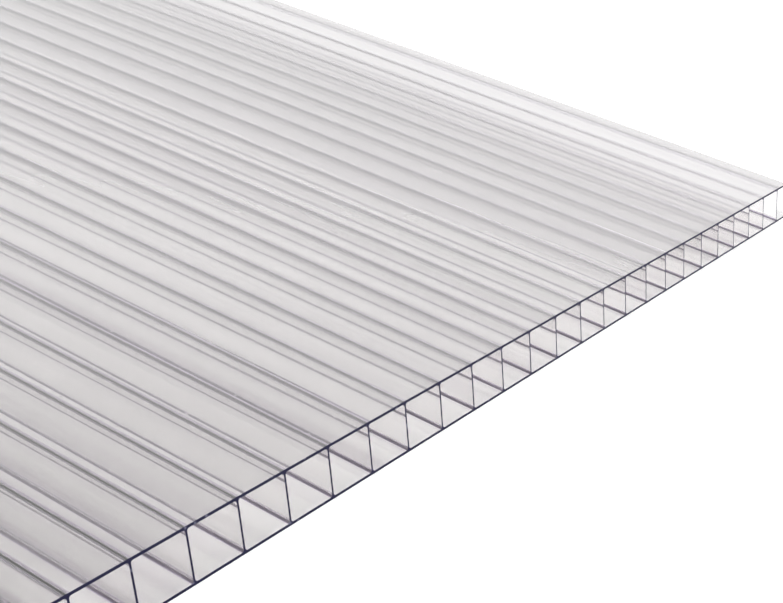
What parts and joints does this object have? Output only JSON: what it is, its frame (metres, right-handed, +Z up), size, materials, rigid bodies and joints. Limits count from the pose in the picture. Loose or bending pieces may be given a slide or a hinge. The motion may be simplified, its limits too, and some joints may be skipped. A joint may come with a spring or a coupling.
{
  "type": "twin-wall polycarbonate sheet",
  "caption": "Flat clear hollow glazing sheet: two thin skins joined by upright ribs, with open-ended flutes along its length; used for roofs and walls.",
  "frame": {"origin": "middle of the sheet's underside", "axes": "+X across the flutes, +Y along the flutes, +Z up through the thickness"},
  "size_m": [0.7, 2, 0.01],
  "materials": {
    "clear_polycarbonate": "gloss"
  },
  "bodies": {
    "root": {"twinwall_sheet": "clear_polycarbonate"}
  },
  "joints": []
}
